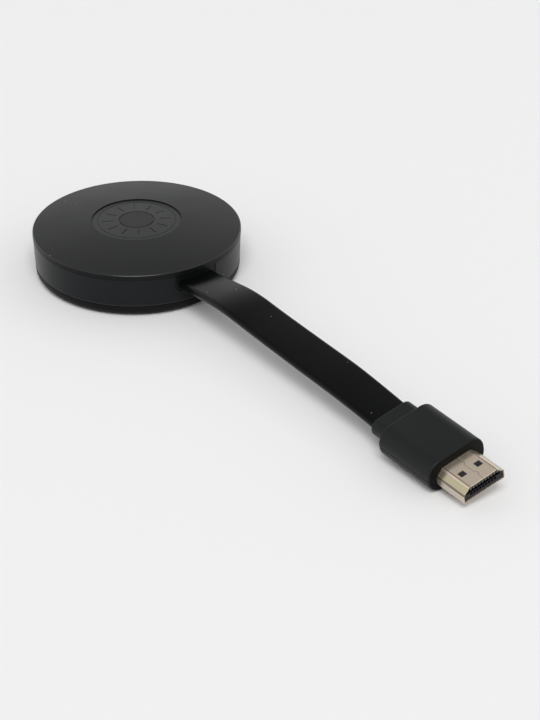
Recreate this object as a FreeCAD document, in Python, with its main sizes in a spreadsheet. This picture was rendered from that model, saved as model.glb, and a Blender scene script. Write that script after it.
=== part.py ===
import FreeCAD, Part
import math
import os
import Sketcher

# Wireless display dongle: a round moulded housing with its board inside, a short flat ribbon cable
# that lies free, and a metal-shelled video plug.
# The frame: +Z up, the housing stands on z = 0 with its axis on Z, and the ribbon leaves along +X.
# The plug has a frame of its own: its mouth is at x = 0, its grip lies towards -x, and +z is its narrow side.

# Driving dimensions, in millimetres and degrees
SIZES = {
    # Housing
    "body_radius": 31.2,
    "wall": 1.8,
    "wall_inset": 0.1,
    "wall_draft": 0.35,
    "base_height": 3.4,
    "base_floor": 1.6,
    "base_edge_round": 2.7,
    "lid_joint_height": 12.3,
    "lid_rim_height": 1.5,
    "crown_rise": 3.1,
    "lid_wall": 1.6,
    "lid_edge_round": 0.35,
    "recess_radius": 13.45,
    "recess_depth": 0.35,
    "seam_chamfer": 0.2,
    "lip_gap": 0.1,
    "lip_thickness": 1.0,
    "base_lip_height": 1.6,
    "lid_lip_height": 0.9,
    # Screws, their bosses and the board
    "screw_edge": 4.4,
    "boss_radius": 2.3,
    "boss_height": 4.2,
    "boss_rib": 1.4,
    "post_radius": 2.3,
    "screw_radius": 0.85,
    "screw_hole_gap": 0.15,
    "screw_bite": 3.2,
    "screw_head_radius": 1.6,
    "screw_head_height": 1.0,
    "head_well_depth": 1.6,
    "head_well_gap": 0.2,
    "board_height": 4.4,
    "board_thickness": 1.2,
    "board_gap": 0.3,
    "vent_inner": 9.0,
    "vent_length": 6.5,
    "vent_width": 1.2,
    # Ribbon cable, its slot and its anchor
    "cable_height": 9.1,
    "cable_width": 12.3,
    "cable_thickness": 2.5,
    "cable_bevel": 0.7,
    "cable_seat_gap": 0.05,
    "cable_end_roll": 6.0,
    "notch_width": 14.5,
    "notch_floor": 7.0,
    "notch_round": 1.9,
    "anchor_inset": 1.3,
    "anchor_length": 4.0,
    "anchor_width": 17.0,
    "anchor_round": 0.6,
    "lead_width": 0.7,
    "lead_thickness": 0.35,
    "lead_pitch": 1.2,
    "lead_reach": 1.6,
    # Power socket
    "socket_setback": 0.6,
    "socket_length": 5.2,
    "socket_width": 7.5,
    "socket_height": 2.5,
    "socket_corner_width": 0.8,
    "socket_corner_height": 0.9,
    "socket_sheet": 0.25,
    "socket_gap": 0.2,
    "socket_block": 1.4,
    "socket_foot_length": 1.6,
    "socket_foot_width": 0.9,
    "tongue_width": 3.7,
    "tongue_thickness": 0.6,
    "tongue_setback": 0.8,
    "socket_contact_width": 0.3,
    "socket_contact_pitch": 0.65,
    "socket_contact_thickness": 0.12,
    # Button and its switch
    "button_radius": 1.5,
    "button_gap": 0.08,
    "button_proud": 0.05,
    "button_flange_radius": 1.9,
    "button_flange_thickness": 1.3,
    "button_stop_gap": 0.15,
    "button_travel": 0.3,
    "button_edge_round": 0.25,
    "switch_length": 6.0,
    "switch_depth": 3.5,
    "switch_height": 4.0,
    "plunger_radius": 0.8,
    "plunger_gap": 0.05,
    "plunger_reach": 1.0,
    "plunger_root": 1.2,
    # Status light
    "pipe_angle": 150.0,
    "pipe_radius": 0.8,
    "pipe_gap": 0.05,
    "pipe_flange_radius": 1.0,
    "pipe_flange_thickness": 0.6,
    "led_length": 3.0,
    "led_depth": 1.2,
    # Heat sink on the processor
    "pad_thickness": 0.4,
    "sink_base": 1.2,
    "sink_fin_height": 3.4,
    "sink_fin_thickness": 0.8,
    # Antenna near the board's edge, and passives round the processor and behind the power socket
    "antenna_x": -5.0,
    "antenna_edge": 6.0,
    "antenna_length": 7.0,
    "antenna_width": 2.0,
    "antenna_height": 1.0,
    "inductor_side": 4.0,
    "inductor_height": 2.0,
    "inductor_x": -20.0,
    "inductor_spread": 14.0,
    "capacitor_length": 1.6,
    "capacitor_width": 0.9,
    "capacitor_height": 0.8,
    "capacitor_gap": 2.0,
    "capacitor_pitch": 3.0,
    # Plug, placed where it lies
    "plug_x": 158.9,
    "plug_y": -1.7,
    "plug_z": 5.6,
    "plug_tilt": 2.56,
    "plug_roll": 12.0,
    "shell_width": 13.9,
    "shell_height": 4.45,
    "shell_side": 2.5,
    "shell_top": 9.5,
    "shell_sheet": 0.3,
    "shell_bend": 0.3,
    "shell_lip": 0.1,
    "shell_length": 19.0,
    "window_side": 1.9,
    "window_spread": 5.4,
    "window_setback": 4.1,
    "grip_setback": 10.5,
    "grip_length": 20.5,
    "grip_width": 19.0,
    "grip_thickness": 9.7,
    "grip_corner": 4.4,
    "grip_end_round": 0.6,
    "neck_length": 6.3,
    "neck_width": 13.8,
    "neck_thickness": 5.2,
    "neck_corner": 2.4,
    "neck_end_round": 0.4,
    "seam_width": 0.2,
    "seam_depth": 0.15,
    "insulator_gap": 0.05,
    "insulator_setback": 0.4,
    "insulator_length": 15.0,
    "cavity_width": 11.6,
    "cavity_height": 1.3,
    "cavity_depth": 9.0,
    "cavity_rise": 0.45,
    "contact_pitch": 1.0,
    "contact_width": 0.4,
    "contact_thickness": 0.2,
    "contact_slot": 0.5,
    "contact_setback": 1.6,
    "contact_tail": 1.5,
}

# Board parts: place of the middle in plan, length along X, width along Y, height over the board
BOARD_PARTS = {
    "processor": (3.0, 3.0, 14.0, 14.0, 1.2),
    "memory_chip": (-12.5, 4.5, 9.0, 13.0, 1.0),
    "flash_chip": (-11.0, -9.0, 8.0, 6.0, 1.5),
    "wireless_module": (7.0, -15.5, 13.0, 12.0, 2.0),
    "crystal": (-3.0, -8.5, 3.2, 2.5, 0.8),
}
PART_FIELDS = ("x", "y", "length", "width", "height")

HALF_TURN = 180.0
QUARTER_TURN = 90.0
SCREWS = 4
SCREW_TURN = 45.0
VENTS = 8
LEADS = 10
CAPACITORS_IN_ROW = 3
SOCKET_CONTACTS = 5
SINK_FINS = 6
UPPER_CONTACTS = 10
LOWER_CONTACTS = 9

# The free run of the ribbon between its anchor and the plug, point by point as it lies, and how far it has
# turned over halfway along the runs that start at two of these points
ROUTE = (
    (40.0, -0.2, 10.0),
    (52.0, -0.4, 11.25),
    (66.0, -0.7, 10.4),
    (86.0, -1.05, 9.6),
    (106.0, -1.4, 8.9),
)
RUN_ROLLS = {
    1: 9.0,
    3: 11.0,
}

TOUCH = 1e-4
# A full round would meet itself, so a round end stays a little under half of its slot
ROUND_END = 0.45

document = FreeCAD.newDocument("WirelessDisplayDongle")
sheet = document.addObject("Spreadsheet::Sheet", "Sizes")
for name, fields in BOARD_PARTS.items():
    for field, amount in zip(PART_FIELDS, fields):
        SIZES[name + "_" + field] = amount
for row, (alias, amount) in enumerate(SIZES.items(), start=1):
    sheet.set("A%d" % row, alias)
    sheet.set("B%d" % row, str(amount))
    sheet.setAlias("B%d" % row, alias)
document.recompute()


class Size:
    """A length or an angle: its amount, and the formula that ties it to the sheet."""

    def __init__(self, amount, formula=None):
        self.amount = float(amount)
        self.formula = formula or repr(float(amount))

    def __add__(self, other):
        other = as_size(other)
        return Size(self.amount + other.amount, "(%s + %s)" % (self.formula, other.formula))

    def __sub__(self, other):
        other = as_size(other)
        return Size(self.amount - other.amount, "(%s - %s)" % (self.formula, other.formula))

    def __mul__(self, other):
        other = as_size(other)
        return Size(self.amount * other.amount, "(%s * %s)" % (self.formula, other.formula))

    def __truediv__(self, other):
        other = as_size(other)
        return Size(self.amount / other.amount, "(%s / %s)" % (self.formula, other.formula))

    def __neg__(self):
        return Size(-self.amount, "(0 - %s)" % self.formula)


def as_size(other):
    return other if isinstance(other, Size) else Size(other)


def root(size):
    return Size(math.sqrt(size.amount), "sqrt(%s)" % size.formula)


class Sheet:
    """Every cell of the sheet by its name."""

    def __getattr__(self, alias):
        return Size(SIZES[alias], "Sizes." + alias)


dim = Sheet()
ZERO = Size(0.0)
pieces = []


# Sketches and features

def bind(item, field, size):
    item.setExpression(field, size.formula)


def new_body(label):
    body = document.addObject("PartDesign::Body", label)
    body.Label = label
    pieces.append(body)
    return body


def sketch_on(body, role, name, offset=None, turn=0.0):
    """A sketch on one of the body's own planes, moved along it or turned about the upright axis."""
    sketch = body.newObject("Sketcher::SketchObject", name)
    plane = next(feature for feature in body.Origin.OriginFeatures if feature.Role == role)
    sketch.AttachmentSupport = [(plane, "")]
    sketch.MapMode = "FlatFace"
    if turn:
        upright = FreeCAD.Vector(0, 0, 1) if role == "XY_Plane" else FreeCAD.Vector(0, 1, 0)
        sketch.AttachmentOffset = FreeCAD.Placement(FreeCAD.Vector(), FreeCAD.Rotation(upright, turn))
    if offset is not None:
        bind(sketch, "AttachmentOffset.Base.z", offset)
    return sketch


def hold(sketch, rule, size):
    """Add one dimension to the sketch and tie it to the sheet."""
    index = sketch.addConstraint(rule)
    bind(sketch, "Constraints[%d]" % index, size)


def hold_point(sketch, curve, end, x, y):
    hold(sketch, Sketcher.Constraint("DistanceX", -1, 1, curve, end, x.amount), x)
    hold(sketch, Sketcher.Constraint("DistanceY", -1, 1, curve, end, y.amount), y)


def arc_between(start, finish, radius, side):
    """The shorter arc between two points, with its centre on the left (1) or the right (-1)."""
    chord = finish - start
    left = FreeCAD.Vector(-chord.y, chord.x, 0).normalize()
    sag = radius - math.sqrt(max(radius ** 2 - (chord.Length / 2) ** 2, 0))
    return Part.Arc(start, (start + finish) / 2 - left * side * sag, finish)


def outline(sketch, corners, bends=None):
    """Close a profile through the corners. bends makes a side an arc: its radius and its centre's side."""
    bends = bends or {}
    corners = [(as_size(x), as_size(y)) for x, y in corners]
    points = [FreeCAD.Vector(x.amount, y.amount, 0) for x, y in corners]
    curves = []
    starts = []
    for index, point in enumerate(points):
        following = points[(index + 1) % len(points)]
        if index in bends:
            radius, side = bends[index]
            curve = sketch.addGeometry(arc_between(point, following, radius.amount, side), False)
        else:
            curve = sketch.addGeometry(Part.LineSegment(point, following), False)
        curves.append(curve)
        starts.append(1 if (sketch.getPoint(curve, 1) - point).Length < TOUCH else 2)
    for index, curve in enumerate(curves):
        following = (index + 1) % len(curves)
        sketch.addConstraint(Sketcher.Constraint(
            "Coincident", curve, 3 - starts[index], curves[following], starts[following]))
    for index, (x, y) in enumerate(corners):
        hold_point(sketch, curves[index], starts[index], x, y)
    for index, (radius, side) in bends.items():
        hold(sketch, Sketcher.Constraint("Radius", curves[index], radius.amount), radius)


def rounded_rectangle(sketch, x, y, width, height, corner):
    """A rectangle about a middle point, with quarter arcs at its corners."""
    x, y = as_size(x), as_size(y)
    half_x, half_y = width / 2, height / 2
    flat_x, flat_y = half_x - corner, half_y - corner
    corners = [
        (x - flat_x, y - half_y), (x + flat_x, y - half_y),
        (x + half_x, y - flat_y), (x + half_x, y + flat_y),
        (x + flat_x, y + half_y), (x - flat_x, y + half_y),
        (x - half_x, y + flat_y), (x - half_x, y - flat_y),
    ]
    outline(sketch, corners, {1: (corner, 1), 3: (corner, 1), 5: (corner, 1), 7: (corner, 1)})


def rectangle(sketch, x, y, width, height):
    x, y = as_size(x), as_size(y)
    outline(sketch, [
        (x - width / 2, y - height / 2), (x + width / 2, y - height / 2),
        (x + width / 2, y + height / 2), (x - width / 2, y + height / 2),
    ])


def circle(sketch, x, y, radius):
    x, y = as_size(x), as_size(y)
    centre = FreeCAD.Vector(x.amount, y.amount, 0)
    curve = sketch.addGeometry(Part.Circle(centre, FreeCAD.Vector(0, 0, 1), radius.amount), False)
    hold_point(sketch, curve, 3, x, y)
    hold(sketch, Sketcher.Constraint("Radius", curve, radius.amount), radius)


def feature(body, kind, name, sketch):
    item = body.newObject("PartDesign::" + kind, name)
    item.Profile = sketch
    sketch.Visibility = False
    return item


def pad(body, sketch, length, name, downwards=False):
    item = feature(body, "Pad", name, sketch)
    bind(item, "Length", length)
    item.Reversed = downwards
    return item


def pocket(body, sketch, depth, name, forwards=False):
    """Cut against the sketch's own direction, or along it."""
    item = feature(body, "Pocket", name, sketch)
    item.Type = "Length"
    bind(item, "Length", depth)
    item.Reversed = forwards
    return item


def revolution(body, sketch, name, axis="V_Axis", kind="Revolution"):
    """Turn a profile full circle, as a solid or as a cut."""
    item = feature(body, kind, name, sketch)
    item.ReferenceAxis = (sketch, [axis])
    item.Angle = 360
    return item


def around(body, originals, count, name):
    """Repeat features in a full circle about the upright axis."""
    pattern = body.newObject("PartDesign::PolarPattern", name)
    pattern.Originals = originals
    pattern.Axis = (next(item for item in body.Origin.OriginFeatures if item.Role == "Z_Axis"), [""])
    pattern.Angle = 360
    pattern.Occurrences = count
    body.Tip = pattern
    return pattern


def dress(body, kind, name, base, chosen, field, size):
    """Round or chamfer the edges of a feature that the test picks."""
    document.recompute()
    names = ["Edge%d" % number for number, edge in enumerate(base.Shape.Edges, start=1) if chosen(edge)]
    item = body.newObject("PartDesign::" + kind, name)
    item.Base = (base, names)
    bind(item, field, size)
    body.Tip = item
    return item


def ring_at(radius, height):
    """A test for the round edge of that radius at that height."""
    def chosen(edge):
        box = edge.BoundBox
        level = abs(box.ZMin - height.amount) < TOUCH and abs(box.ZMax - height.amount) < TOUCH
        return level and abs(box.XLength / 2 - radius.amount) < TOUCH
    return chosen


def along(axis):
    """A test for straight edges that run along an axis."""
    def chosen(edge):
        lengths = [edge.BoundBox.XLength, edge.BoundBox.YLength, edge.BoundBox.ZLength]
        run = lengths.pop("XYZ".index(axis))
        return run > TOUCH and max(lengths) < TOUCH
    return chosen


def block(label, x, y, z, length, width, height):
    """A plain box whose middle is at x, y and whose foot is at z."""
    box = document.addObject("Part::Box", label)
    for field, size in (("Length", length), ("Width", width), ("Height", height)):
        bind(box, field, as_size(size))
    bind(box, "Placement.Base.x", as_size(x) - as_size(length) / 2)
    bind(box, "Placement.Base.y", as_size(y) - as_size(width) / 2)
    bind(box, "Placement.Base.z", as_size(z))
    return box


def group(label, members):
    """Separate solids that share one piece's name."""
    item = document.addObject("Part::Compound", label)
    item.Label = label
    item.Links = members
    pieces.append(item)
    return item


def single(label, item):
    item.Label = label
    pieces.append(item)
    return item


# Heights and radii that several pieces share

inner_radius = dim.body_radius - dim.wall
lip_outer = inner_radius - dim.lip_gap
lip_inner = lip_outer - dim.lip_thickness
base_radius = dim.body_radius - dim.wall_inset - dim.wall_draft
board_top = dim.board_height + dim.board_thickness
board_radius = lip_inner - dim.board_gap
screw_circle = inner_radius - dim.screw_edge
dome_radius = (dim.body_radius * dim.body_radius + dim.crown_rise * dim.crown_rise) / (dim.crown_rise * 2)
dome_centre = dim.lid_joint_height + dim.lid_rim_height + dim.crown_rise - dome_radius
anchor_face = inner_radius - dim.anchor_inset
socket_face = dim.body_radius - dim.socket_setback
socket_centre = board_top + dim.socket_height / 2
button_height = board_top + dim.switch_height / 2
pipe_height = board_top + dim.pipe_flange_radius + dim.pipe_gap


def crown(radius):
    """Height of the lid's outer surface at a radius."""
    return dome_centre + root(dome_radius * dome_radius - radius * radius)


def wall_radius(height):
    """Outer radius of the drafted wall at a height."""
    share = (height - dim.base_height) / (dim.lid_joint_height - dim.base_height)
    return base_radius + dim.wall_draft * share


nose_radius = wall_radius(dim.cable_height) - dim.lip_gap
cable_root = root(nose_radius * nose_radius - dim.cable_width * dim.cable_width / 4)


def notch_outline(sketch, inset, top):
    """The ribbon's notch in the wall, with round lower corners, drawn in by an even inset."""
    half = dim.notch_width / 2 - inset
    foot = dim.notch_floor + inset
    bend = dim.notch_round - inset
    outline(sketch, [
        (bend - half, foot), (half - bend, foot),
        (half, foot + bend), (half, top),
        (-half, top), (-half, foot + bend),
    ], {1: (bend, 1), 5: (bend, 1)})


# Lid: a domed moulding with a flat round recess, a rounded rim and a lip that drops inside the wall.
# Its underside is hidden, so two plain slopes follow the dome there.

def make_top_cover():
    body = new_body("top_cover")
    profile = sketch_on(body, "XZ_Plane", "LidProfile")
    recess_edge = crown(dim.recess_radius)
    recess_floor = recess_edge - dim.recess_depth
    round_centre = dim.body_radius - dim.lid_edge_round
    round_reach = dome_radius - dim.lid_edge_round
    round_rise = root(round_reach * round_reach - round_centre * round_centre)
    lip_foot = dim.lid_joint_height - dim.lid_lip_height
    outline(profile, [
        (ZERO, recess_floor),
        (dim.recess_radius, recess_floor),
        (dim.recess_radius, recess_edge),
        (round_centre * dome_radius / round_reach, dome_centre + round_rise * dome_radius / round_reach),
        (dim.body_radius, dome_centre + round_rise),
        (dim.body_radius, dim.lid_joint_height),
        (lip_outer, dim.lid_joint_height),
        (lip_outer, lip_foot),
        (lip_inner, lip_foot),
        (lip_inner, crown(lip_inner) - dim.lid_wall),
        (dim.recess_radius, recess_floor - dim.lid_wall),
        (ZERO, recess_floor - dim.lid_wall),
    ], {2: (dome_radius, -1), 3: (dim.lid_edge_round, -1)})
    revolution(body, profile, "Lid")


# Side wall: a drafted ring with four screw bosses on ribs. The ribbon leaves through a notch that the lid
# closes, and the hidden side has holes for the power socket, the button and the status light.

def make_middle_shell():
    body = new_body("middle_shell")
    profile = sketch_on(body, "XZ_Plane", "WallProfile")
    outline(profile, [
        (inner_radius, dim.base_height),
        (base_radius, dim.base_height),
        (base_radius + dim.wall_draft, dim.lid_joint_height),
        (inner_radius, dim.lid_joint_height),
    ])
    wall = revolution(body, profile, "Wall")

    upper = ring_at(base_radius + dim.wall_draft, dim.lid_joint_height)
    lower = ring_at(base_radius, dim.base_height)
    dress(body, "Chamfer", "ShadowLines", wall, lambda edge: upper(edge) or lower(edge), "Size",
          dim.seam_chamfer)

    boss_plan = sketch_on(body, "XY_Plane", "BossPlan", board_top, SCREW_TURN)
    circle(boss_plan, screw_circle, ZERO, dim.boss_radius)
    boss = pad(body, boss_plan, dim.boss_height, "Boss")
    rib_plan = sketch_on(body, "XY_Plane", "RibPlan", board_top, SCREW_TURN)
    rib_length = inner_radius + dim.wall / 2 - screw_circle
    rectangle(rib_plan, screw_circle + rib_length / 2, ZERO, rib_length, dim.boss_rib)
    rib = pad(body, rib_plan, dim.boss_height, "Rib")
    around(body, [boss, rib], SCREWS, "Bosses")

    pilot_plan = sketch_on(body, "XY_Plane", "PilotPlan", board_top, SCREW_TURN)
    circle(pilot_plan, screw_circle, ZERO, dim.screw_radius)
    pilot = pocket(body, pilot_plan, dim.screw_bite + dim.screw_hole_gap, "Pilot", forwards=True)
    around(body, [pilot], SCREWS, "Pilots")

    beyond = dim.body_radius + dim.wall
    face_plan = sketch_on(body, "YZ_Plane", "AnchorFacePlan", anchor_face)
    face_foot = board_top + dim.lip_gap
    face_top = dim.lid_joint_height - dim.lid_lip_height - dim.lip_gap
    rectangle(face_plan, ZERO, (face_foot + face_top) / 2, dim.anchor_width, face_top - face_foot)
    pad(body, face_plan, inner_radius + dim.wall / 4 - anchor_face, "AnchorFace")

    notch_plan = sketch_on(body, "YZ_Plane", "NotchPlan")
    notch_outline(notch_plan, ZERO, dim.lid_joint_height + dim.seam_chamfer)
    pocket(body, notch_plan, beyond, "Notch", forwards=True)

    socket_plan = sketch_on(body, "YZ_Plane", "SocketPlan", turn=HALF_TURN)
    mouth_width = dim.socket_width + dim.socket_gap * 2
    mouth_height = dim.socket_height + dim.socket_gap * 2
    rounded_rectangle(socket_plan, ZERO, socket_centre, mouth_width, mouth_height,
                      dim.socket_corner_width / 2)
    pocket(body, socket_plan, beyond, "SocketMouth", forwards=True)

    button_plan = sketch_on(body, "YZ_Plane", "ButtonPlan", turn=QUARTER_TURN)
    circle(button_plan, ZERO, button_height, dim.button_radius + dim.button_gap)
    pocket(body, button_plan, beyond, "ButtonHole", forwards=True)

    light_plan = sketch_on(body, "YZ_Plane", "LightPlan", turn=SIZES["pipe_angle"])
    circle(light_plan, ZERO, pipe_height, dim.pipe_radius + dim.pipe_gap)
    pocket(body, light_plan, beyond, "LightHole", forwards=True)


# Base: a shallow dish with a rounded rim, a lip inside the wall, four posts for the board, and vents

def make_base_cover():
    body = new_body("base_cover")
    profile = sketch_on(body, "XZ_Plane", "BaseProfile")
    lip_top = dim.base_height + dim.base_lip_height
    outline(profile, [
        (ZERO, ZERO),
        (base_radius - dim.base_edge_round, ZERO),
        (base_radius, dim.base_edge_round),
        (base_radius, dim.base_height),
        (lip_outer, dim.base_height),
        (lip_outer, lip_top),
        (lip_inner, lip_top),
        (lip_inner, dim.base_height),
        (base_radius - dim.base_edge_round, dim.base_floor),
        (ZERO, dim.base_floor),
    ], {1: (dim.base_edge_round, 1)})
    revolution(body, profile, "Dish")

    post_plan = sketch_on(body, "XY_Plane", "PostPlan", dim.base_floor / 2, SCREW_TURN)
    circle(post_plan, screw_circle, ZERO, dim.post_radius)
    post = pad(body, post_plan, dim.board_height - dim.base_floor / 2, "Post")
    around(body, [post], SCREWS, "Posts")

    shank_plan = sketch_on(body, "XY_Plane", "ShankPlan", turn=SCREW_TURN)
    circle(shank_plan, screw_circle, ZERO, dim.screw_radius + dim.screw_hole_gap)
    shank = pocket(body, shank_plan, dim.board_height, "ShankHole", forwards=True)
    well_plan = sketch_on(body, "XY_Plane", "WellPlan", turn=SCREW_TURN)
    circle(well_plan, screw_circle, ZERO, dim.screw_head_radius + dim.head_well_gap)
    well = pocket(body, well_plan, dim.head_well_depth, "HeadWell", forwards=True)
    around(body, [shank, well], SCREWS, "ScrewHoles")

    vent_plan = sketch_on(body, "XY_Plane", "VentPlan")
    rounded_rectangle(vent_plan, dim.vent_inner + dim.vent_length / 2, ZERO, dim.vent_length, dim.vent_width,
                      dim.vent_width * ROUND_END)
    vent = pocket(body, vent_plan, dim.base_floor, "Vent", forwards=True)
    around(body, [vent], VENTS, "Vents")


# Screws: pan heads in the base's wells, shanks up through the board into the bosses

def make_base_screws():
    bottom = dim.head_well_depth - dim.screw_head_height
    tip = board_top + dim.screw_bite
    screws = []
    for number in range(SCREWS):
        angle = math.radians(SCREW_TURN + 360.0 * number / SCREWS)
        parts = []
        for part, radius, foot, top in (
                ("Head", dim.screw_head_radius, bottom, dim.head_well_depth),
                ("Shank", dim.screw_radius, dim.head_well_depth, tip)):
            rod = document.addObject("Part::Cylinder", "Screw%s%d" % (part, number + 1))
            bind(rod, "Radius", radius)
            bind(rod, "Height", top - foot)
            bind(rod, "Placement.Base.x", screw_circle * math.cos(angle))
            bind(rod, "Placement.Base.y", screw_circle * math.sin(angle))
            bind(rod, "Placement.Base.z", foot)
            parts.append(rod)
        screw = document.addObject("Part::Fuse", "Screw%d" % (number + 1))
        screw.Base, screw.Tool = parts
        screws.append(screw)
    group("base_screws", screws)


# Board: a round plate with four screw holes

def make_main_board():
    body = new_body("main_board")
    plan = sketch_on(body, "XY_Plane", "BoardPlan", dim.board_height)
    circle(plan, ZERO, ZERO, board_radius)
    pad(body, plan, dim.board_thickness, "Plate")
    hole_plan = sketch_on(body, "XY_Plane", "BoardHolePlan", dim.board_height, SCREW_TURN)
    circle(hole_plan, screw_circle, ZERO, dim.screw_radius + dim.screw_hole_gap)
    hole = pocket(body, hole_plan, dim.board_thickness, "BoardHole", forwards=True)
    around(body, [hole], SCREWS, "BoardHoles")


# Chips, modules and passives that stand on the board

def make_board_parts():
    for name in BOARD_PARTS:
        x, y, length, width, height = [getattr(dim, name + "_" + field) for field in PART_FIELDS]
        single(name, block(name, x, y, board_top, length, width, height))
    single("chip_antenna", block("chip_antenna", dim.antenna_x, dim.antenna_edge - board_radius, board_top,
                                 dim.antenna_length, dim.antenna_width, dim.antenna_height))
    coils = []
    for side in (-1, 1):
        coils.append(block("Inductor%d" % (len(coils) + 1), dim.inductor_x, dim.inductor_spread / 2 * side,
                           board_top, dim.inductor_side, dim.inductor_side, dim.inductor_height))
    group("power_inductors", coils)
    caps = []
    for number in range(CAPACITORS_IN_ROW):
        shift = dim.capacitor_pitch * (number - (CAPACITORS_IN_ROW - 1) / 2)
        beside = dim.processor_x + dim.processor_length / 2 + dim.capacitor_gap
        behind = dim.processor_y + dim.processor_width / 2 + dim.capacitor_gap
        for x, y in ((beside, dim.processor_y + shift), (dim.processor_x + shift, behind)):
            caps.append(block("Capacitor%d" % (len(caps) + 1), x, y, board_top, dim.capacitor_length,
                              dim.capacitor_width, dim.capacitor_height))
    group("capacitors", caps)


# Heat sink: an extruded comb of fins on a soft pad over the processor

def make_heat_sink():
    foot = board_top + dim.processor_height
    single("thermal_pad", block("thermal_pad", dim.processor_x, dim.processor_y, foot, dim.processor_length,
                                dim.processor_width, dim.pad_thickness))
    body = new_body("heat_sink")
    profile = sketch_on(body, "YZ_Plane", "SinkProfile", dim.processor_x - dim.processor_length / 2)
    low = foot + dim.pad_thickness
    web = low + dim.sink_base
    high = web + dim.sink_fin_height
    left = dim.processor_y - dim.processor_width / 2
    step = (dim.processor_width - dim.sink_fin_thickness) / (SINK_FINS - 1)
    corners = [(left, low), (left + dim.processor_width, low)]
    for number in reversed(range(SINK_FINS)):
        near = left + step * number
        far = near + dim.sink_fin_thickness
        corners += [(far, high), (near, high)]
        if number:
            corners += [(near, web), (near - step + dim.sink_fin_thickness, web)]
    outline(profile, corners)
    pad(body, profile, dim.processor_length, "Comb")


# Power socket: a folded shell, the moulded block with its tongue, and five contacts under the tongue

def socket_profile(sketch, inset):
    """The socket's outline, wide side up, drawn in by an even inset."""
    half = dim.socket_width / 2 - inset
    top = board_top + dim.socket_height - inset
    foot = board_top + inset
    slant = root(dim.socket_corner_width * dim.socket_corner_width
                 + dim.socket_corner_height * dim.socket_corner_height)
    side = (board_top + dim.socket_corner_height
            + inset * (slant - dim.socket_corner_height) / dim.socket_corner_width)
    flat = (dim.socket_width / 2 - dim.socket_corner_width
            - inset * (slant - dim.socket_corner_width) / dim.socket_corner_height)
    outline(sketch, [(-flat, foot), (flat, foot), (half, side), (half, top), (-half, top), (-half, side)])


def make_power_socket():
    shell = new_body("power_socket_shell")
    outer = sketch_on(shell, "YZ_Plane", "SocketOuter", -socket_face)
    socket_profile(outer, ZERO)
    pad(shell, outer, dim.socket_length, "SocketSleeve")
    feet = sketch_on(shell, "YZ_Plane", "SocketFeet",
                     -socket_face + dim.socket_length - dim.socket_foot_length)
    span = dim.socket_width - dim.socket_corner_width * 2 + dim.socket_foot_width * 2
    rectangle(feet, ZERO, board_top + dim.socket_sheet / 2, span, dim.socket_sheet)
    pad(shell, feet, dim.socket_foot_length, "SocketFootPlate")
    inner = sketch_on(shell, "YZ_Plane", "SocketInner", -socket_face)
    socket_profile(inner, dim.socket_sheet)
    pocket(shell, inner, dim.socket_length, "SocketBore", forwards=True)

    tongue = new_body("power_socket_tongue")
    rear = -socket_face + dim.socket_length
    block_plan = sketch_on(tongue, "YZ_Plane", "SocketBlockPlan", rear - dim.socket_block)
    socket_profile(block_plan, dim.socket_sheet)
    pad(tongue, block_plan, dim.socket_block, "SocketBlock")
    tongue_plan = sketch_on(tongue, "YZ_Plane", "TonguePlan", -socket_face + dim.tongue_setback)
    rectangle(tongue_plan, ZERO, socket_centre, dim.tongue_width, dim.tongue_thickness)
    reach = dim.socket_length - dim.tongue_setback - dim.socket_block / 2
    pad(tongue, tongue_plan, reach, "Tongue")

    contacts = []
    length = dim.socket_length - dim.tongue_setback - dim.socket_block
    middle = -socket_face + dim.tongue_setback + length / 2
    foot = socket_centre - dim.tongue_thickness / 2 - dim.socket_contact_thickness
    for number in range(SOCKET_CONTACTS):
        shift = dim.socket_contact_pitch * (number - (SOCKET_CONTACTS - 1) / 2)
        contacts.append(block("SocketContact%d" % (number + 1), middle, shift, foot, length,
                              dim.socket_contact_width, dim.socket_contact_thickness))
    group("power_socket_contacts", contacts)


# Button: a round cap with a flange behind the wall, on the plunger of a side-push switch.
# All three lie along Y, at the button's height.

button_face = wall_radius(button_height) + dim.button_proud
flange_face = root(inner_radius * inner_radius
                   - dim.button_flange_radius * dim.button_flange_radius) - dim.button_stop_gap
cap_root = flange_face - dim.button_flange_thickness
switch_face = cap_root - dim.plunger_reach


def turned_piece(label, corners, height, turn=QUARTER_TURN):
    """A turned piece along a level axis, given its outline as distance along the axis and radius."""
    body = new_body(label)
    profile = sketch_on(body, "XZ_Plane", label + "Profile")
    outline(profile, corners)
    solid = revolution(body, profile, label + "Turned", "H_Axis")
    body.Placement = FreeCAD.Placement(FreeCAD.Vector(), FreeCAD.Rotation(FreeCAD.Vector(0, 0, 1), turn))
    bind(body, "Placement.Base.z", height)
    return body, solid


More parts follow.
